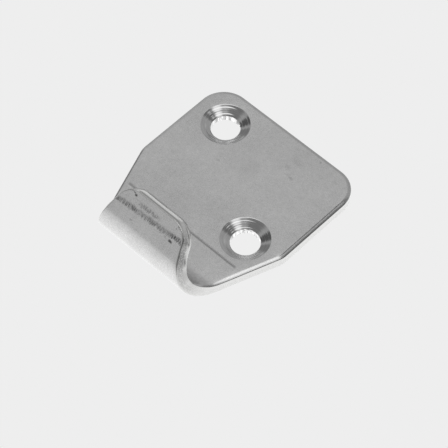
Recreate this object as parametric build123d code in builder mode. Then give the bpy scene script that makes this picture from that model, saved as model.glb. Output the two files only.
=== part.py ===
"""Hook catch plate: one piece of stainless sheet, blanked, countersunk and bent.

The plate screws down on its flat underside.  Its front end narrows to a tongue that is
bent up and back over the plate, and the loop or claw of a toggle latch pulls on that hook.

Frame: the origin is midway between the two screw holes on the underside.  +X is across
the plate, +Y runs to the square rear end, -Y to the hook, and +Z leaves the mounting face.
Sizes are in millimetres.
"""

import os
from math import cos, radians, sin, tan

from build123d import *

# sheet and outline
thickness = 2.0
width = 30.0
side_length = 18.1  # straight side, from the rear edge to where the taper starts
taper_angle = 20.0  # of each side, from the centre line
rear_corner_radius = 4.5

# screw holes, on a diagonal
hole_pitch_x = 17.3
hole_pitch_y = 13.7
hole_radius = 2.37
countersink_radius = 3.98
countersink_angle = 118
left_margin = 6.2  # left-hand hole to the left side
rear_margin = 5.9  # left-hand hole to the rear edge

# hook
flat_length = 28.5  # from the rear edge to the start of the bend
bend_inner_radius = 3.5
bend_angle = 132.0
bend_end_half_width = 7.05
lip_length = 4.58  # the straight end of the tongue, past the bend
tip_half_width = 5.95
tip_corner_radius = 3.3

# the outline's corners, from the holes
left = -hole_pitch_x / 2 - left_margin
right = left + width
centre_x = (left + right) / 2
rear = hole_pitch_y / 2 + rear_margin
taper_start = rear - side_length
bend_start = rear - flat_length
taper_inset = (taper_start - bend_start) * tan(radians(taper_angle))
bend_start_half_width = width / 2 - taper_inset

# the bend, on the middle of the sheet's thickness
bend_mid_radius = bend_inner_radius + thickness / 2
bend_centre_z = thickness + bend_inner_radius
lip_base_y = bend_start - bend_mid_radius * sin(radians(bend_angle))
lip_base_z = bend_centre_z - bend_mid_radius * cos(radians(bend_angle))

# the lip's own plane: x across the hook, y up the lip, z out of its front face
lip_plane = Plane(
    origin=(centre_x, lip_base_y, lip_base_z),
    x_dir=(1, 0, 0),
    z_dir=(0, -sin(radians(bend_angle)), -cos(radians(bend_angle))),
)

with BuildPart() as catch_plate:
    with BuildSketch(Plane.XY):
        with BuildLine():
            Polyline(
                (left, rear),
                (right, rear),
                (right, taper_start),
                (right - taper_inset, bend_start),
                (left + taper_inset, bend_start),
                (left, taper_start),
                close=True,
            )
        make_face()
        fillet(vertices().group_by(Axis.Y)[-1], radius=rear_corner_radius)
    extrude(amount=thickness)

    # the bend: the tongue goes on narrowing evenly along its own length
    with BuildLine(Plane.YZ.offset(centre_x)) as bend_path:
        JernArc(
            start=(bend_start, thickness / 2),
            tangent=(-1, 0),
            radius=bend_mid_radius,
            arc_size=-bend_angle,
        )
    with BuildSketch(Plane(origin=bend_path.line @ 0, x_dir=(1, 0, 0), z_dir=bend_path.line % 0)):
        Rectangle(2 * bend_start_half_width, thickness)
    with BuildSketch(Plane(origin=bend_path.line @ 1, x_dir=(1, 0, 0), z_dir=bend_path.line % 1)):
        Rectangle(2 * bend_end_half_width, thickness)
    sweep(path=bend_path.line, multisection=True)

    # the straight lip, with its tip corners rounded
    with BuildSketch(lip_plane):
        with BuildLine():
            Polyline(
                (-bend_end_half_width, 0),
                (bend_end_half_width, 0),
                (tip_half_width, lip_length),
                (-tip_half_width, lip_length),
                close=True,
            )
        make_face()
        fillet(vertices().group_by(Axis.Y)[-1], radius=tip_corner_radius)
    extrude(amount=thickness / 2, both=True)

    with Locations(
        (-hole_pitch_x / 2, hole_pitch_y / 2, thickness),
        (hole_pitch_x / 2, -hole_pitch_y / 2, thickness),
    ):
        CounterSinkHole(
            radius=hole_radius,
            counter_sink_radius=countersink_radius,
            counter_sink_angle=countersink_angle,
        )

catch_plate.part.label = "catch_plate"

os.makedirs("parts", exist_ok=True)
export_step(catch_plate.part, "parts/catch_plate.step")

box = catch_plate.part.bounding_box()
print("size", [round(v, 2) for v in box.size])
print("lowest corner", [round(v, 2) for v in box.min])
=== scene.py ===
"""Studio scene of a hook catch plate, a toggle latch's keeper pressed from stainless sheet.

The plate is one mesh.  It is laid out as a flat blank, with a rolled upper edge, a sheared
cut face and two machined countersinks, and each of its points is folded round the bend.
Blank coordinates are millimetres: across from the plate's centre line, forward along the
sheet from the rear edge, and up from the underside.
"""

from math import atan2, ceil, cos, degrees, hypot, pi, radians, sin, tan

import bpy
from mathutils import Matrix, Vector
from mathutils.geometry import delaunay_2d_cdt


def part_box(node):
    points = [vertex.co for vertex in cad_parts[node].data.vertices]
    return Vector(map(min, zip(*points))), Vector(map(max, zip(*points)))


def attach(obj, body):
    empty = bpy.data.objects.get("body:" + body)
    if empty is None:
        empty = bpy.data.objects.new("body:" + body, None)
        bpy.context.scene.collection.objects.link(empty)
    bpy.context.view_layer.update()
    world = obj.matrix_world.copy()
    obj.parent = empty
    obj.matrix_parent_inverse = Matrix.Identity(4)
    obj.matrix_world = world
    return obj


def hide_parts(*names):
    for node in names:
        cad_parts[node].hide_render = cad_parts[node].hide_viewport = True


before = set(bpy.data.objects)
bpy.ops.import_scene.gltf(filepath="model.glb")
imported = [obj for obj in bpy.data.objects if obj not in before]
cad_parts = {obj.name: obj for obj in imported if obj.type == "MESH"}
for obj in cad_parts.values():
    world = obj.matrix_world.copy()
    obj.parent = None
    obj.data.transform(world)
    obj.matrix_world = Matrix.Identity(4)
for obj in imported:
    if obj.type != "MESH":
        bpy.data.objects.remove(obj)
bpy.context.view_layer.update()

MM = 0.001

# the sheet and its bend, as in the CAD source
THICKNESS = 2.0
HALF_WIDTH = 15.0
SIDE_LENGTH = 18.1
TAPER = tan(radians(20))
REAR_CORNER = 4.5
FLAT_LENGTH = 28.5
BEND_ANGLE = radians(132)
INNER_RADIUS = 3.5
MID_RADIUS = INNER_RADIUS + THICKNESS / 2
OUTER_RADIUS = INNER_RADIUS + THICKNESS
BEND_END = FLAT_LENGTH + MID_RADIUS * BEND_ANGLE
BEND_START_HALF = HALF_WIDTH - (FLAT_LENGTH - SIDE_LENGTH) * TAPER
BEND_END_HALF = 7.05
LIP_LENGTH = 4.58
TIP_HALF = 5.95
TIP_CORNER = 3.3
TIP = BEND_END + LIP_LENGTH

plate_low, plate_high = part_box("catch_plate")
CENTRE_X = (plate_low.x + plate_high.x) / 2 / MM
REAR_Y = plate_high.y / MM

# screw holes
HOLE_RADIUS = 2.37
SINK_RADIUS = 3.98
SINK_TILT = radians(31)
SINK_SLOPE = tan(SINK_TILT)
RIM_REACH = 1 - sin(SINK_TILT)
HOLES = ((-8.8, 5.9), (8.5, 19.6))
SINK_FRONT = HOLES[1][1] + SINK_RADIUS + 0.05
WAVE_PITCH = 0.9
RIPPLE_PITCH = 0.3
# what the tool left in each hole: where the wave starts, its height, the ripple's height,
# and the radius of the rounded inner rim
TOOL_MARKS = ((3.15, 0.011, 0.003, 0.08), (3.1, 0.006, 0.0036, 0.08))
# slivers on the inner rims: angle, half width, how far each stands in
BURRS = {
    HOLES[0]: ((-70, 10, 0.4), (-52, 5, 0.1)),
    HOLES[1]: ((-134, 7, 0.22), (-107, 8, 0.28), (-118, 4, 0.12)),
}

# press-shop detail
ROLL_WIDTH = 0.7
ROLL_DEPTH = 0.26
BACK_ROLL_DEPTH = 0.19
HOOK_ROLL_WIDTH = 0.35
HOOK_ROLL_DEPTH = 0.12
ROLL_POWER = 1.5
ROUND_ROWS = 6
BURR_RISE = 0.13
BURR_OUT = 0.12
BURNISH_END = 1.05
FRACTURE_INSET = 0.035
TIP_SHEAR = 0.07
TIP_ROLL_DEPTH = 0.03
TIP_BURNISH_END = 0.55
# places down the rolled edge, as shares of its width
ROLL_STEPS = (0, 0.12, 0.26, 0.4, 0.54, 0.68, 0.8, 0.9)
# turns of the edge that have the sheet's own finish: the roll, and the start of the round
ROLL_ROWS = 11
FLARE_TORN = tan(radians(20))
FLARE_BURNISHED = tan(radians(9))
FLARE_LEFT = 0.2
FLARE_STEP = 1.25
CREASE = 24.45
CREASE_DEPTH = 0.04
CREASE_ROWS = (-0.55, -0.3, -0.17, -0.12, -0.07, -0.03, 0, 0.03, 0.07, 0.12, 0.17, 0.3)
COLUMNS = 28

SURFACE, CUT_FACE, MACHINED = 0, 1, 2
SHEET_TONE = 0.6


def smooth(low, high, value):
    """0 below low, 1 above high, and an even S between them."""
    t = min(max((value - low) / (high - low), 0.0), 1.0)
    return t * t * (3 - 2 * t)


def bent(x, s, h):
    """Where a point of the flat blank lies once the hook is folded, in metres."""
    angle = min(max((s - FLAT_LENGTH) / MID_RADIUS, 0.0), BEND_ANGLE)
    radius = OUTER_RADIUS - h
    lip = max(s - BEND_END, 0.0)
    y = REAR_Y - min(s, FLAT_LENGTH) - radius * sin(angle) - lip * cos(angle)
    z = OUTER_RADIUS - radius * cos(angle) + lip * sin(angle)
    return Vector(((x + CENTRE_X) * MM, y * MM, z * MM))


# ---------------------------------------------------------------- outline of the blank


def straight_half_width(s):
    """Half the blank's width, with the corners of its outline still sharp."""
    if s < SIDE_LENGTH:
        return HALF_WIDTH
    if s < FLAT_LENGTH:
        return HALF_WIDTH - (s - SIDE_LENGTH) * TAPER
    if s < BEND_END:
        share = (s - FLAT_LENGTH) / (BEND_END - FLAT_LENGTH)
        return BEND_START_HALF + share * (BEND_END_HALF - BEND_START_HALF)
    share = (s - BEND_END) / LIP_LENGTH
    return BEND_END_HALF + share * (TIP_HALF - BEND_END_HALF)


def half_width(s):
    """Half the blank's width, with each change of slope eased over a short length."""
    reach = 0.6 if s < 20 else 0.9
    steps = 12
    widths = [straight_half_width(s + reach * (2 * k / steps - 1)) for k in range(steps + 1)]
    return sum(widths) / len(widths)


def spread(start, end, step):
    """Even positions from start up to, but without, end."""
    count = max(1, ceil((end - start) / step - 1e-6))
    return [start + (end - start) * k / count for k in range(count)]


def tip_corner(steps=14):
    """The rounded corner between the lip's right side and its end."""
    slope = (BEND_END_HALF - TIP_HALF) / LIP_LENGTH
    length = hypot(slope, 1)
    along = Vector((-slope / length, 1 / length))
    turn = pi / 2 - atan2(slope, 1)
    back = TIP_CORNER * tan(turn / 2)
    start = Vector((TIP_HALF, TIP)) - along * back
    inward = Vector((-along.y, along.x))
    centre = start + inward * TIP_CORNER
    first = atan2(-inward.y, -inward.x)
    points = []
    for k in range(steps + 1):
        a = first + turn * k / steps
        points.append((centre.x + TIP_CORNER * cos(a), centre.y + TIP_CORNER * sin(a)))
    return points


def right_half():
    """The right half of the outline, from the rear edge's middle to the lip's end."""
    points = [(x, 0.0) for x in spread(0, HALF_WIDTH - REAR_CORNER, 1.3)]
    for k in range(19):
        a = radians(-90 + 5 * k)
        x = HALF_WIDTH - REAR_CORNER + REAR_CORNER * cos(a)
        points.append((x, REAR_CORNER + REAR_CORNER * sin(a)))
    corner = tip_corner()
    # closer together where the side turns into the taper
    stations = spread(5.5, 17.4, 1.2) + spread(17.4, 18.8, 0.1) + spread(18.8, 24.1, 0.8)
    # and over the crease. On the taper the roll's inner side lies a little behind the outline
    crease_here = CREASE + ROLL_WIDTH * TAPER
    stations += [crease_here + d for d in CREASE_ROWS]
    stations += spread(25.1, FLAT_LENGTH, 0.4) + spread(FLAT_LENGTH, BEND_END, 0.2)
    stations += spread(BEND_END, corner[0][1] - 0.05, 0.25)
    points += [(half_width(s), s) for s in stations]
    return points + corner


half = right_half()
tip_line = [(half[-1][0] * (1 - 2 * k / COLUMNS), TIP) for k in range(1, COLUMNS)]
mirrored = [(-x, s) for x, s in reversed(half[1:])]
outline = half + tip_line + mirrored
COUNT = len(outline)
FIRST_ROW = next(k for k, (x, s) in enumerate(half) if s > SINK_FRONT + ROLL_WIDTH * TAPER)
LAST_ROW = len(half) - 1


def inward_normals(points):
    """The unit normal into the blank at each point of its outline."""
    normals = []
    for k, here in enumerate(points):
        before = Vector(points[k - 1])
        after = Vector(points[(k + 1) % len(points)])
        a = (Vector(here) - before).normalized()
        b = (after - Vector(here)).normalized()
        along = (a + b).normalized()
        normals.append(Vector((-along.y, along.x)))
    return normals


normals = inward_normals(outline)


# ---------------------------------------------------------------- the sheet's mesh

vertices = []
blank = []
faces = []
zones = []


def add_vertex(x, s, h):
    vertices.append(bent(x, s, h))
    blank.append((x, s, h))
    return len(vertices) - 1


def add_face(corners, zone):
    faces.append(corners)
    zones.append(zone)


def hook_share(s):
    """0 on the flat plate and 1 on the tongue, past the first part of the bend."""
    return smooth(29.0, 33.5, s)


def tip_share(s):
    """1 along the lip's end, fading out round its corners."""
    return smooth(TIP - 0.5, TIP - 0.03, s)


def burr_share(x, s):
    """1 at the lip's right corner, where the shear drew out a thin burr along the inner edge."""
    return smooth(41.6, 42.0, s) * (1 - smooth(43.15, 43.35, s)) if x > 0 else 0.0


def back_share(x, s):
    """1 along the rear and left edges, which the die rolled over less, and 0 on the right."""
    return 1.0 if x < 0 else 1 - smooth(0.5, 5.0, s)


def flare(x, s, h):
    """How far the sheet is squeezed out sideways at the tight inside of the bend."""
    fading = 1 - smooth(40.6, 43.0, s)
    torn = FLARE_TORN * smooth(33.5, 38.5, s) * fading
    burnished = FLARE_BURNISHED * smooth(34.0, 38.5, s) * fading
    out = torn * min(h, FLARE_STEP) + burnished * max(h - FLARE_STEP, 0.0)
    if x < 0:
        out += FLARE_LEFT * smooth(33.0, 37.5, s) * (1 - smooth(39.0, 42.0, s))
    return out


def blend(share, a, b):
    return a + share * (b - a)


def roll_size(x, s):
    """The rolled edge's width and depth, and the radius of the round below it."""
    back = back_share(x, s)
    tapering = smooth(17.6, 19.0, s)
    less = 1 - 0.35 * tapering if x < 0 else 1.0
    width = blend(tapering, ROLL_WIDTH, ROLL_WIDTH - 0.08)
    width = less * blend(smooth(26.6, 30.6, s), width, HOOK_ROLL_WIDTH)
    depth = blend(tapering, ROLL_DEPTH, ROLL_DEPTH - 0.02)
    depth = blend(back, depth, BACK_ROLL_DEPTH)
    depth = less * blend(smooth(29.0, 32.0, s), depth, HOOK_ROLL_DEPTH)
    depth = blend(tip_share(s), depth, TIP_ROLL_DEPTH)
    radius = blend(smooth(16.0, 19.0, s), blend(back, 0.24, 0.13), blend(back, 0.18, 0.13))
    radius = less * blend(smooth(26.0, 29.5, s), radius, 0.12)
    return width, depth, radius


def edge_profile(x, s):
    """The cut edge at a place along the sheet, from the upper face to the underside.

    Each row is how far inside the outline it lies, and its height.
    """
    hook, tip = hook_share(s), tip_share(s)
    width, depth, radius = roll_size(x, s)
    steepest = atan2(ROLL_POWER * depth, width - 0.4 * radius)
    # the round between the roll and the cut face, which is a straight slant at the lip's end
    round_rows = []
    for k in range(ROUND_ROWS):
        angle = (pi / 2 - steepest) * (1 - k / (ROUND_ROWS - 1))
        inset = radius * (1 - cos(angle))
        drop = radius * (cos(steepest) - sin(angle))
        inset = blend(tip, inset, 0.05 * (1 - k / (ROUND_ROWS - 1)))
        round_rows.append((inset, THICKNESS - depth - blend(tip, drop, 0.12 * k)))
    start = round_rows[0][0]
    width = blend(tip, width, start + 0.05)
    rows = []
    for t in ROLL_STEPS:
        rows.append((start + (width - start) * (1 - t), THICKNESS - depth * t**ROLL_POWER))
    rows += round_rows
    # the burnished band, the torn band that leans in below it, and the lower corner
    burnish = blend(tip, BURNISH_END, TIP_BURNISH_END)
    lean = FRACTURE_INSET + 0.06 * tip
    lower = blend(tip, blend(hook, 0.06, 0.15), 0.12)
    rows.append((0.0, round_rows[-1][1] - BURR_RISE))
    rows.append((0.0, burnish))
    rows.append((lean * 0.25, burnish - 0.1))
    rows.append((lean, lower))
    for t, u in ((0.08, 0.6), (0.29, 0.29), (0.6, 0.08), (1.0, 0.0)):
        rows.append((lean + lower * t, lower * u))
    return rows


PROFILE_ROWS = len(edge_profile(0.0, 0.0))


def ring(row):
    """One turn round the edge, along one row of the edge's profile."""
    made = []
    for (x, s), n in zip(outline, normals):
        inset, h = edge_profile(x, s)[row]
        inset -= flare(x, s, h)
        burr_from = THICKNESS - HOOK_ROLL_DEPTH - BURR_RISE * 2
        inset -= BURR_OUT * burr_share(x, s) * smooth(burr_from, burr_from + BURR_RISE * 1.5, h)
        inset += TIP_SHEAR * tip_share(s) * (0.5 - h / THICKNESS)
        made.append(add_vertex(x + n.x * inset, s + n.y * inset, h))
    return made


def groove(x, s):
    """How deep the crease lies at a point: a shallow witness line that stops short of both sides."""
    across = 1 - smooth(0.0, 0.2, abs(s - CREASE))
    ends = (1 - smooth(9.5, 11.3, x)) * (1 - smooth(10.5, 11.9, -x))
    return CREASE_DEPTH * across * ends


def cap_rows(rim, h, upward):
    """Quads across the sheet, from just behind the crease to the lip's end.

    Returns the first row.
    """
    rows = []
    for k in range(FIRST_ROW, LAST_ROW):
        right, left = rim[k], rim[COUNT - k]
        x1, s1, _ = blank[right]
        x0 = blank[left][0]
        row = [right]
        for c in range(1, COLUMNS):
            x = x1 + (x0 - x1) * c / COLUMNS
            depth = groove(x, s1) if upward else 0.0
            row.append(add_vertex(x, s1, h - depth))
        rows.append(row + [left])
    rows.append([rim[(LAST_ROW + c) % COUNT] for c in range(COLUMNS + 1)])
    for near, far in zip(rows, rows[1:]):
        for c in range(COLUMNS):
            quad = (near[c], near[c + 1], far[c + 1], far[c])
            add_face(quad if upward else tuple(reversed(quad)), SURFACE)
    return rows[0]


def hole_ring(hole, radius, h, burr, steps=120):
    """One turn round a hole. burr is how much of the torn rim's unevenness the turn has."""
    made = []
    for k in range(steps):
        a = 2 * pi * k / steps
        r = radius
        for at, wide, out in BURRS[hole]:
            away = abs((degrees(a) - at + 180) % 360 - 180)
            r -= burr * out * max(0.0, 1 - (away / wide) ** 2)
        r += burr * 0.012 * sin(23 * a + hole[0]) * sin(7 * a)
        made.append(add_vertex(hole[0] + r * cos(a), hole[1] + r * sin(a), h))
    return made


def cap_flat(rim, first_row, hole_rims, upward):
    """Triangles over the rest of the flat plate, behind first_row and round the holes."""
    boundary = rim[COUNT - FIRST_ROW + 1 :] + rim[:FIRST_ROW] + first_row
    loops = [boundary] + hole_rims
    order = [v for loop in loops for v in loop]
    points = [Vector(blank[v][:2]) for v in order]
    edges = []
    start = 0
    for loop in loops:
        n = len(loop)
        edges += [(start + k, start + (k + 1) % n) for k in range(n)]
        start += n
    result = delaunay_2d_cdt(points, edges, [], 1, 1e-6)
    if len(result[0]) != len(points):
        raise RuntimeError("the plate's outline or a hole crosses itself")
    back = [sources[0] for sources in result[3]]
    rim_sets = [set(hole_rim) for hole_rim in hole_rims]
    for triangle in result[2]:
        corners = [order[back[t]] for t in triangle]
        # a triangle with all its corners on one hole's rim lies inside the hole
        if any(rim_set.issuperset(corners) for rim_set in rim_sets):
            continue
        a, b, c = (Vector(blank[v][:2]) for v in corners)
        turn = (b - a).cross(c - a)
        if (turn > 0) == upward:
            corners.reverse()
        add_face(tuple(corners), SURFACE)


def cone_height(r):
    return THICKNESS - (SINK_RADIUS - r) * SINK_SLOPE


def hole_profile(wave_at, wave, ripple, rim):
    """A countersunk hole from its upper rim down: radius, height and share of the burr.

    The tool left a slow wave and a fine ripple across the cone, and the inner rim is rounded.
    """
    rows = [(SINK_RADIUS + 0.05, THICKNESS, 0), (SINK_RADIUS + 0.01, THICKNESS - 0.008, 0)]
    rows.append((SINK_RADIUS - 0.02, cone_height(SINK_RADIUS - 0.02) - 0.004, 0))
    steps = 48
    reach = SINK_RADIUS - HOLE_RADIUS - 0.05 - RIM_REACH * rim
    for k in range(steps):
        r = SINK_RADIUS - 0.05 - reach * k / (steps - 1)
        cut = wave * sin(2 * pi * (r - wave_at) / WAVE_PITCH)
        cut += ripple * sin(2 * pi * (r - wave_at) / RIPPLE_PITCH)
        cut *= smooth(SINK_RADIUS, SINK_RADIUS - 0.15, r)
        cut *= smooth(0.0, 0.15, r - HOLE_RADIUS - RIM_REACH * rim)
        rows.append((r, cone_height(r) + cut, 0))
    # the round starts tangent to the cone and ends tangent to the wall
    rim_height = cone_height(HOLE_RADIUS + RIM_REACH * rim)
    for k, share in enumerate((0.1, 0.3, 0.6, 0.85, 1.0)):
        angle = SINK_TILT + (pi / 2 - SINK_TILT) * (k + 1) / 5
        r = HOLE_RADIUS + rim * (1 - sin(angle))
        rows.append((r, rim_height - rim * (cos(SINK_TILT) - cos(angle)), share))
    rows.append((HOLE_RADIUS, rim_height - rim * cos(SINK_TILT) - 0.12, 0.15))
    rows.append((HOLE_RADIUS, 0.5, 0))
    rows.append((HOLE_RADIUS, 0.05, 0))
    rows.append((HOLE_RADIUS + 0.03, 0.0, 0))
    return rows


def join_turns(upper, lower, zone, flipped):
    """Quads between two turns with the same number of points."""
    count = len(upper)
    for k in range(count):
        nxt = (k + 1) % count
        if flipped:
            add_face((upper[k], lower[k], lower[nxt], upper[nxt]), zone)
        else:
            add_face((upper[k], upper[nxt], lower[nxt], lower[k]), zone)


rings = [ring(row) for row in range(PROFILE_ROWS)]
for row, (upper, lower) in enumerate(zip(rings, rings[1:])):
    join_turns(upper, lower, SURFACE if row < ROLL_ROWS else CUT_FACE, False)

top_rims, bottom_rims = [], []
for hole, tool_marks in zip(HOLES, TOOL_MARKS):
    turns = [hole_ring(hole, *row) for row in hole_profile(*tool_marks)]
    for upper, lower in zip(turns, turns[1:]):
        join_turns(upper, lower, MACHINED, True)
    top_rims.append(turns[0])
    bottom_rims.append(turns[-1])

first_top = cap_rows(rings[0], THICKNESS, True)
first_bottom = cap_rows(rings[-1], 0.0, False)
cap_flat(rings[0], first_top, top_rims, True)
cap_flat(rings[-1], first_bottom, bottom_rims, False)

mesh = bpy.data.meshes.new("hook_catch_plate")
mesh.from_pydata(vertices, [], faces)
mesh.polygons.foreach_set("material_index", zones)
attribute = mesh.attributes.new("blank", "FLOAT_VECTOR", "POINT")
attribute.data.foreach_set("vector", [c for point in blank for c in point])
mesh.validate()
mesh.shade_smooth()
mesh.set_sharp_from_angle(angle=radians(32))
plate = bpy.data.objects.new("hook_catch_plate", mesh)
bpy.context.scene.collection.objects.link(plate)
weighted = plate.modifiers.new("face weighted normals", "WEIGHTED_NORMAL")
weighted.mode = "FACE_AREA"
weighted.keep_sharp = True


# ---------------------------------------------------------------- materials


WALL_TOP = cone_height(HOLE_RADIUS)


class Nodes:
    """Short names for making a material's nodes."""

    def __init__(self, tree):
        self.tree = tree

    def make(self, kind, **values):
        node = self.tree.nodes.new(kind)
        for name, value in values.items():
            setattr(node, name, value)
        return node

    def put(self, socket, value):
        if isinstance(value, bpy.types.NodeSocket):
            self.tree.links.new(value, socket)
        else:
            socket.default_value = value

    def maths(self, operation, a, b=0.0, c=0.0):
        node = self.make("ShaderNodeMath", operation=operation)
        for socket, value in zip(node.inputs, (a, b, c)):
            self.put(socket, value)
        return node.outputs[0]

    def vector(self, operation, a, b=(0, 0, 0)):
        node = self.make("ShaderNodeVectorMath", operation=operation)
        self.put(node.inputs[0], a)
        self.put(node.inputs[1], b)
        return node.outputs["Value" if operation in ("LENGTH", "DOT_PRODUCT") else "Vector"]

    def ramp(self, value, low, high, to_low=0.0, to_high=1.0):
        node = self.make("ShaderNodeMapRange", interpolation_type="SMOOTHSTEP")
        for name, v in zip(("Value", "From Min", "From Max", "To Min", "To Max"),
                           (value, low, high, to_low, to_high)):
            self.put(node.inputs[name], v)
        return node.outputs["Result"]

    def mix(self, share, a, b):
        node = self.make("ShaderNodeMix", data_type="FLOAT")
        for name, value in zip(("Factor", "A", "B"), (share, a, b)):
            self.put(node.inputs[name], value)
        return node.outputs["Result"]

    def noise(self, where, scale, detail=2.0, roughness=0.5):
        node = self.make("ShaderNodeTexNoise")
        self.put(node.inputs["Vector"], where)
        node.inputs["Scale"].default_value = scale
        node.inputs["Detail"].default_value = detail
        node.inputs["Roughness"].default_value = roughness
        return node.outputs["Fac"]

    def colour_noise(self, where, scale):
        node = self.make("ShaderNodeTexNoise")
        self.put(node.inputs["Vector"], where)
        node.inputs["Scale"].default_value = scale
        node.inputs["Detail"].default_value = 3.0
        return node.outputs["Color"]

    def vary(self, value, pattern, amount):
        """value, moved up and down by a pattern that is 0.5 on average."""
        return self.maths("MULTIPLY_ADD", self.maths("SUBTRACT", pattern, 0.5), amount, value)

    def away(self, value, place):
        """How far value is from a place, on either side."""
        return self.maths("ABSOLUTE", self.maths("SUBTRACT", value, place))

    def darken(self, value, share):
        return self.maths("MULTIPLY", value, self.maths("SUBTRACT", 1.0, share))

    def paint(self, shader, value, tint=(1.0, 1.0, 1.0)):
        """A near-grey base colour of this brightness."""
        colour = self.make("ShaderNodeCombineColor")
        for socket, share in zip(colour.inputs, tint):
            self.put(socket, value if share == 1.0 else self.maths("MULTIPLY", value, share))
        self.put(shader.inputs["Base Color"], colour.outputs[0])

    def emboss(self, shader, height, strength, distance):
        bump = self.make("ShaderNodeBump")
        bump.inputs["Strength"].default_value = strength
        bump.inputs["Distance"].default_value = distance * MM
        self.put(bump.inputs["Height"], height)
        self.put(shader.inputs["Normal"], bump.outputs["Normal"])


def new_material(name):
    material = bpy.data.materials.new(name)
    material.use_nodes = True
    tree = material.node_tree
    shader = tree.nodes["Principled BSDF"]
    shader.inputs["Metallic"].default_value = 1.0
    return material, shader, Nodes(tree)


def blank_position(n):
    """The surface's place on the flat blank, in millimetres: the whole vector, and its parts."""
    position = n.make("ShaderNodeAttribute", attribute_name="blank").outputs["Vector"]
    split = n.make("ShaderNodeSeparateXYZ")
    n.put(split.inputs[0], position)
    return position, split.outputs["X"], split.outputs["Y"], split.outputs["Z"]


# darkening marks: across, forward, half lengths each way, strength
OUTER_MARKS = (
    (4.6, 40.15, 0.42, 0.2, 0.75),
    (3.45, 40.3, 0.14, 0.12, 0.35),
    (2.5, 40.3, 0.16, 0.1, 0.35),
    (-2.8, 38.95, 0.28, 0.12, 0.25),
    (-4.0, 42.55, 0.3, 0.2, 0.75),
    (-4.35, 42.82, 0.35, 0.12, 0.55),
    (-4.9, 42.88, 0.4, 0.1, 0.45),
    (-5.4, 42.7, 0.35, 0.12, 0.35),
    (-5.85, 42.3, 0.2, 0.25, 0.2),
    (-3.3, 42.15, 0.45, 0.08, 0.2),
    (-2.4, 41.93, 0.6, 0.08, 0.2),
    (4.8, 42.9, 0.22, 0.2, 0.5),
    (4.55, 42.4, 0.14, 0.14, 0.35),
    (5.1, 42.6, 0.16, 0.14, 0.35),
    (0.1, 38.0, 0.3, 0.12, 0.12),
)
TOP_MARKS = (
    (7.1, 1.1, 0.25, 0.18, 0.22),
    (5.8, 6.55, 0.5, 0.22, 0.2),
    (5.0, 6.4, 0.5, 0.15, 0.1),
    (4.6, 3.6, 1.2, 0.4, 0.07),
    (3.9, 5.2, 0.5, 0.4, 0.1),
    (-4.75, 11.8, 0.35, 0.25, 0.17),
    (-4.9, 11.0, 0.25, 0.2, 0.08),
    (0.3, 10.0, 1.6, 1.8, 0.06),
    (3.5, 19.3, 0.9, 0.2, 0.09),
    (-11.0, 15.6, 0.4, 0.2, 0.07),
    (11.3, 2.4, 0.5, 0.4, 0.08),
)


# where the scuffed band is heavier: across, radius of the even part, radius of the fade, strength
HEAVIER_SCUFFS = ((-6.2, 0.3, 1.6, 0.12), (-3.6, 0.3, 1.8, 0.14), (0.6, 0.8, 2.4, 0.1))


def blotches(n, warped, marks):
    """How strongly some soft-edged marks darken a place."""
    total = None
    for across, forward, rx, rs, strength in marks:
        offset = n.vector("SUBTRACT", warped, (across, forward, 0.0))
        scaled = n.vector("MULTIPLY", offset, (1 / rx, 1 / rs, 0.0))
        one = n.ramp(n.vector("LENGTH", scaled), 0.45, 1.35, strength, 0.0)
        total = one if total is None else n.maths("MAXIMUM", total, one)
    return total


def scuffed_band(n, flat, x, s):
    """The band that the latch's loop has scuffed across the lip's outer face."""
    streak = n.noise(n.vector("MULTIPLY", flat, (8.0, 1.1, 1.0)), 1.0, 2.0, 0.6)
    lobe = n.noise(n.vector("MULTIPLY", flat, (1.1, 0.4, 1.0)), 1.0, 2.0, 0.5)
    wander = n.maths("MULTIPLY_ADD", streak, 1.1, n.maths("MULTIPLY_ADD", lobe, 0.6, -0.85))
    # the band lies a little askew, nearer the tip on the right
    into = n.maths("MULTIPLY_ADD", x, -0.05, n.maths("ADD", s, wander))
    band = n.maths("MULTIPLY", n.ramp(into, 40.25, 40.6), n.ramp(into, 41.35, 41.05))
    weight = n.ramp(n.away(x, 5.4), 0.7, 2.0, 0.3, 0.0)
    for place, near, far, more in HEAVIER_SCUFFS:
        weight = n.maths("ADD", weight, n.ramp(n.away(x, place), near, far, more, 0.0))
    weight = n.maths("ADD", weight, 0.38)
    weight = n.maths("MULTIPLY", weight, n.ramp(streak, 0.38, 0.62, 0.3, 1.3))
    band = n.maths("MULTIPLY", band, weight)
    # specks scattered round it
    specks = n.ramp(n.noise(flat, 4.5, 2.0, 0.6), 0.6, 0.7, 0.0, 0.4)
    near = n.ramp(n.away(s, 41.0), 0.6, 1.6, 1.0, 0.0)
    band = n.maths("MAXIMUM", band, n.maths("MULTIPLY", specks, near))
    # a fainter smudge beyond it, nearer the tip
    smudge_at = n.maths("ADD", s, n.maths("MULTIPLY_ADD", streak, 1.6, -0.8))
    smudge = n.maths("MULTIPLY", n.ramp(smudge_at, 41.5, 41.8), n.ramp(smudge_at, 42.45, 42.1))
    smudge = n.maths("MULTIPLY", smudge, n.ramp(n.away(x, -0.7), 1.2, 2.6, 0.55, 0.0))
    smudge = n.maths("MULTIPLY", smudge, n.ramp(streak, 0.38, 0.6))
    return n.maths("MAXIMUM", band, smudge)


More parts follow.
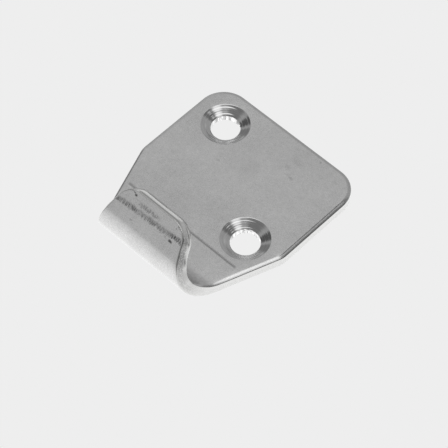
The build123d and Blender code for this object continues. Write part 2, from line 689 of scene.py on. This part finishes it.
def sheet_darkening(n, flat, x, s, h, upper):
    """How much the marks, the scuffs, the painted shade on the tip's round and the painted shade and
    grime in the crease darken the sheet.
    """
    lower = n.maths("SUBTRACT", 1.0, upper)
    tremble = n.vector("SUBTRACT", n.colour_noise(flat, 2.6), (0.5, 0.5, 0.5))
    warped = n.vector("ADD", flat, n.vector("MULTIPLY", tremble, (0.6, 0.45, 0.0)))
    outer = n.maths("MULTIPLY", blotches(n, warped, OUTER_MARKS), lower)
    top = n.maths("MULTIPLY", blotches(n, warped, TOP_MARKS), upper)
    band = n.maths("MULTIPLY", scuffed_band(n, flat, x, s), lower)
    marks_and_painted_shade = n.maths("MAXIMUM", n.maths("MAXIMUM", outer, top), band)
    # painted shade: the round where the lip's end meets its inner face is darkened
    round_here = n.maths("MULTIPLY", n.ramp(h, 1.5, 1.6), n.ramp(h, 1.999, 1.99))
    tip_round_shade = n.maths("MULTIPLY", n.ramp(s, 42.9, 43.2), round_here)
    marks_and_painted_shade = n.maths("MAXIMUM", marks_and_painted_shade, n.maths("MULTIPLY", tip_round_shade, 0.35))
    # painted shade in the crease, with some grime settled there
    crease = n.ramp(n.away(s, CREASE), 0.08, 0.36, 0.42, 0.0)
    ends = n.ramp(n.away(x, -0.3), 11.1, 11.6, 1.0, 0.0)
    crease = n.maths("MULTIPLY", n.maths("MULTIPLY", crease, ends), upper)
    return n.maths("MAXIMUM", marks_and_painted_shade, crease)


def sheet_material():
    material, shader, n = new_material("tumbled stainless sheet")
    _, x, s, h = blank_position(n)
    # the two faces of the sheet get different patterns, and the edge joins them
    upper = n.ramp(h, 0.9, 1.1)
    flat = n.make("ShaderNodeCombineXYZ")
    for socket, value in zip(flat.inputs, (x, s, n.maths("MULTIPLY", upper, 40.0))):
        n.put(socket, value)
    flat = flat.outputs[0]
    drift = n.noise(flat, 0.12, 2.0, 0.5)
    cloud = n.noise(flat, 0.4, 4.0, 0.6)
    mottle = n.noise(flat, 1.4, 4.0, 0.65)
    grain = n.noise(flat, 5.0, 3.0, 0.6)
    fine = n.noise(flat, 16.0, 3.0, 0.6)
    # marks and scuffs, with painted shade on the tip's round and in the crease
    marks_and_painted_shade = sheet_darkening(n, flat, x, s, h, upper)

    value = SHEET_TONE
    for pattern, amount in ((drift, 0.13), (cloud, 0.11), (mottle, 0.15), (grain, 0.36)):
        value = n.vary(value, pattern, amount)
    # the inside of the bend is puckered, so it is duller and blotchier
    inside = n.maths("MULTIPLY", n.ramp(s, 27.0, 30.0), upper)
    pucker = n.maths("MULTIPLY", n.maths("SUBTRACT", mottle, 0.5), inside)
    value = n.maths("MULTIPLY_ADD", pucker, 0.25, value)
    n.paint(shader, n.darken(value, marks_and_painted_shade), (1.003, 1.002, 1.0))

    rough = n.vary(0.22, mottle, 0.12)
    rough = n.maths("MULTIPLY_ADD", marks_and_painted_shade, 0.3, rough)
    rough = n.maths("MULTIPLY_ADD", inside, 0.12, rough)
    n.put(shader.inputs["Roughness"], rough)

    height = n.maths("MULTIPLY_ADD", mottle, 0.6, n.maths("MULTIPLY", fine, 0.12))
    height = n.maths("SUBTRACT", height, n.maths("MULTIPLY", marks_and_painted_shade, 0.8))
    n.emboss(shader, height, 0.35, 0.02)
    return material


def cut_material():
    """The sheared edge: a burnished band under the rolled corner, then a duller torn band."""
    material, shader, n = new_material("sheared edge")
    position, _, s, h = blank_position(n)
    tip = n.ramp(s, 42.3, 43.1)
    hook = n.maths("SUBTRACT", n.ramp(s, 31.0, 37.0), tip)
    torn = n.maths("MULTIPLY", n.ramp(h, 1.25, 1.0), n.ramp(h, 0.16, 0.3))
    torn = n.maths("MULTIPLY", torn, n.maths("MULTIPLY_ADD", tip, -0.9, 1.0))
    lines = n.noise(n.vector("MULTIPLY", position, (9.0, 9.0, 0.7)), 1.0, 3.0, 0.6)
    pits = n.noise(n.vector("MULTIPLY", position, (1.0, 1.0, 0.7)), 7.0, 3.0, 0.65)
    ticks = n.maths("MULTIPLY", n.maths("SUBTRACT", pits, 0.5), torn)
    value = n.vary(0.63, lines, 0.12)
    value = n.maths("MULTIPLY_ADD", ticks, n.maths("MULTIPLY_ADD", hook, 0.9, 0.4), value)
    # painted shade: a thin darker line where the torn band begins, standing for the shadow in the
    # small open step there, near the lip's end
    step = n.ramp(n.away(h, 1.32), 0.03, 0.14, 0.6, 0.0)
    ends = n.maths("MULTIPLY", n.ramp(s, 40.2, 41.4), n.ramp(s, 43.2, 42.6))
    value = n.darken(value, n.maths("MULTIPLY", step, ends))
    # painted shade: a darker line along each side of the bright band on the lip's end
    near = n.ramp(n.away(h, 0.36), 0.06, 0.2, 0.25, 0.0)
    end_band_shade = n.maths("ADD", near, n.ramp(h, 1.42, 1.5, 0.0, 0.35))
    value = n.darken(value, n.maths("MULTIPLY", end_band_shade, tip))
    # the edge next to the lip's inner face is rubbed brighter towards the tip
    towards_tip = n.maths("MULTIPLY", n.ramp(s, 41.2, 42.2), 0.4)
    rubbed = n.maths("MULTIPLY", n.ramp(h, 1.45, 1.6), towards_tip)
    value = n.maths("MULTIPLY_ADD", value, rubbed, value)
    # painted shade from the inside of the bend: the edge is darker where the bend squeezes it most,
    # more towards the inside face
    squeezed = n.maths("MULTIPLY", n.ramp(s, 34.0, 35.5), n.ramp(s, 37.6, 36.2, 0.0, 0.27))
    squeezed = n.maths("MULTIPLY", squeezed, n.ramp(h, 0.9, 1.2, 0.35, 1.0))
    n.paint(shader, n.darken(value, squeezed), (1.0, 1.0, 0.99))
    duller = n.maths("MULTIPLY_ADD", hook, 0.1, 0.12)
    n.put(shader.inputs["Roughness"], n.maths("MULTIPLY_ADD", torn, duller, 0.2))
    torn_pits = n.maths("MULTIPLY", pits, torn)
    n.emboss(shader, n.maths("ADD", torn_pits, n.maths("MULTIPLY", lines, 0.3)), 0.5, 0.04)
    return material


def machined_material():
    """The countersinks and the holes' walls: turned rings, and marks down the wall."""
    material, shader, n = new_material("machined countersink")
    position, _, _, h = blank_position(n)
    turned = n.noise(n.vector("MULTIPLY", position, (0.35, 0.35, 7.0)), 1.0, 3.0, 0.7)
    down = n.noise(n.vector("MULTIPLY", position, (3.0, 3.0, 0.4)), 1.0, 3.0, 0.6)
    wall = n.ramp(h, WALL_TOP - 0.06, WALL_TOP, 1.0, 0.0)
    # the punched wall is brighter than the cone, with marks down it
    marked = n.maths("MINIMUM", n.vary(0.85, down, 2.4), 1.0)
    n.paint(shader, n.mix(wall, n.vary(0.6, turned, 0.35), marked))
    cone_rough = n.maths("MULTIPLY_ADD", turned, 0.12, 0.06)
    n.put(shader.inputs["Roughness"], n.mix(wall, cone_rough, 0.5))
    return material


for made in (sheet_material(), cut_material(), machined_material()):
    mesh.materials.append(made)

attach(plate, "root")
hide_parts("catch_plate")


# ---------------------------------------------------------------- studio

PALE = 0.855
FLOOR_REACH = 3.0
FLOOR_GAP = 0.0005


def direction(azimuth, elevation):
    """A unit vector: azimuth is from +X towards +Y, elevation above the floor, in degrees."""
    a, e = radians(azimuth), radians(elevation)
    return Vector((cos(a) * cos(e), sin(a) * cos(e), sin(e)))


# soft boxes, flags and walls that the metal reflects: azimuth, elevation,
# radius of the even part, radius where it has faded out, brightness
STUDIO = (
    (-113, 19, 14, 24, 0.62),
    (150, 18, 8, 18, 0.6),
    (168, 4, 8, 15, 0.25),
    (-165, 28, 8, 16, 0.12),
    (-105, 57, 16, 30, 0.25),
    (134, 55, 18, 32, 0.605),
    (0, 90, 15, 26, 1.4),
    (72, -16, 16, 26, 0.5),
    (75, 6, 10, 18, 0.6),
    (94, -13, 4, 9, 0.15),
    (152, -16, 12, 22, 0.45),
    (134, -37, 14, 21, 0.45),
    (165, 20, 7, 12, 0.25),
    (-38, 8, 14, 24, 0.12),
    (-158, -8, 16, 24, 0.25),
    (4, 62, 6, 15, 1.2),
    (22, 70, 7, 14, 1.55),
    (62, 62, 6, 12, 0.08),
    (45, 45, 9, 17, 0.2),
    (45, 53, 3, 7, 0.75),
    (25, -6, 8, 13, 0.15),
    (12, 18, 22, 32, 0.1),
)
WALL = 0.45
FLOOR_FAR = 0.84
FLOOR_NEAR = 1.2

# where the camera stands and looks, in degrees and millimetres
CAMERA_AZIMUTH = 43.808
CAMERA_ELEVATION = 55.261
CAMERA_DISTANCE = 331.808
CAMERA_TARGET = (4.426, -7.133, 2.0)
CAMERA_LENS = 174.69


def build_world():
    world = bpy.data.worlds.new("studio")
    bpy.context.scene.world = world
    world.use_nodes = True
    tree = world.node_tree
    tree.nodes.clear()
    n = Nodes(tree)
    aim = n.make("ShaderNodeTexCoord").outputs["Generated"]
    split = n.make("ShaderNodeSeparateXYZ")
    n.put(split.inputs[0], aim)
    up = split.outputs["Z"]
    floor = n.ramp(up, -0.75, 0.0, FLOOR_NEAR, FLOOR_FAR)
    light = n.mix(n.ramp(up, -0.05, 0.01, 1.0, 0.0), WALL, floor)
    for azimuth, elevation, inner, outer, brightness in STUDIO:
        facing = n.vector("DOT_PRODUCT", aim, tuple(direction(azimuth, elevation)))
        share = n.ramp(facing, cos(radians(outer)), cos(radians(inner)))
        light = n.mix(share, light, brightness)
    seen = n.make("ShaderNodeLightPath").outputs["Is Camera Ray"]
    shown = n.mix(seen, light, PALE)
    background = n.make("ShaderNodeBackground")
    n.put(background.inputs["Color"], shown)
    output = n.make("ShaderNodeOutputWorld")
    n.put(output.inputs["Surface"], background.outputs[0])


def build_floor():
    """A plain pale floor, lit evenly. From below it is clear, so it never hides the object."""
    low = plate_low.z - FLOOR_GAP
    floor_mesh = bpy.data.meshes.new("floor")
    signs = ((-1, -1), (1, -1), (1, 1), (-1, 1))
    corners = [(x * FLOOR_REACH, y * FLOOR_REACH, low) for x, y in signs]
    floor_mesh.from_pydata(corners, [], [(0, 1, 2, 3)])
    floor = bpy.data.objects.new("floor", floor_mesh)
    bpy.context.scene.collection.objects.link(floor)
    material = bpy.data.materials.new("pale floor")
    material.use_nodes = True
    tree = material.node_tree
    tree.nodes.clear()
    n = Nodes(tree)
    glow = n.make("ShaderNodeEmission")
    glow.inputs["Color"].default_value = (PALE, PALE, PALE, 1)
    clear = n.make("ShaderNodeBsdfTransparent")
    mix = n.make("ShaderNodeMixShader")
    n.put(mix.inputs[0], n.make("ShaderNodeNewGeometry").outputs["Backfacing"])
    n.put(mix.inputs[1], glow.outputs[0])
    n.put(mix.inputs[2], clear.outputs[0])
    n.put(n.make("ShaderNodeOutputMaterial").inputs["Surface"], mix.outputs[0])
    floor_mesh.materials.append(material)
    floor.visible_glossy = False
    floor.visible_diffuse = False
    floor.visible_shadow = False


def build_camera():
    data = bpy.data.cameras.new("camera")
    data.sensor_width = 36
    data.lens = CAMERA_LENS
    data.clip_start = 0.01
    data.clip_end = 20
    camera = bpy.data.objects.new("camera", data)
    bpy.context.scene.collection.objects.link(camera)
    # this azimuth is from -Y, the hook's side, towards +X
    azimuth, elevation = radians(CAMERA_AZIMUTH), radians(CAMERA_ELEVATION)
    back = Vector((sin(azimuth) * cos(elevation), -cos(azimuth) * cos(elevation), sin(elevation)))
    camera.location = Vector(CAMERA_TARGET) * MM + back * CAMERA_DISTANCE * MM
    camera.rotation_mode = "QUATERNION"
    camera.rotation_quaternion = (-back).to_track_quat("-Z", "Y")
    bpy.context.scene.camera = camera


build_world()
build_floor()
build_camera()
bpy.context.scene.view_settings.view_transform = "Standard"
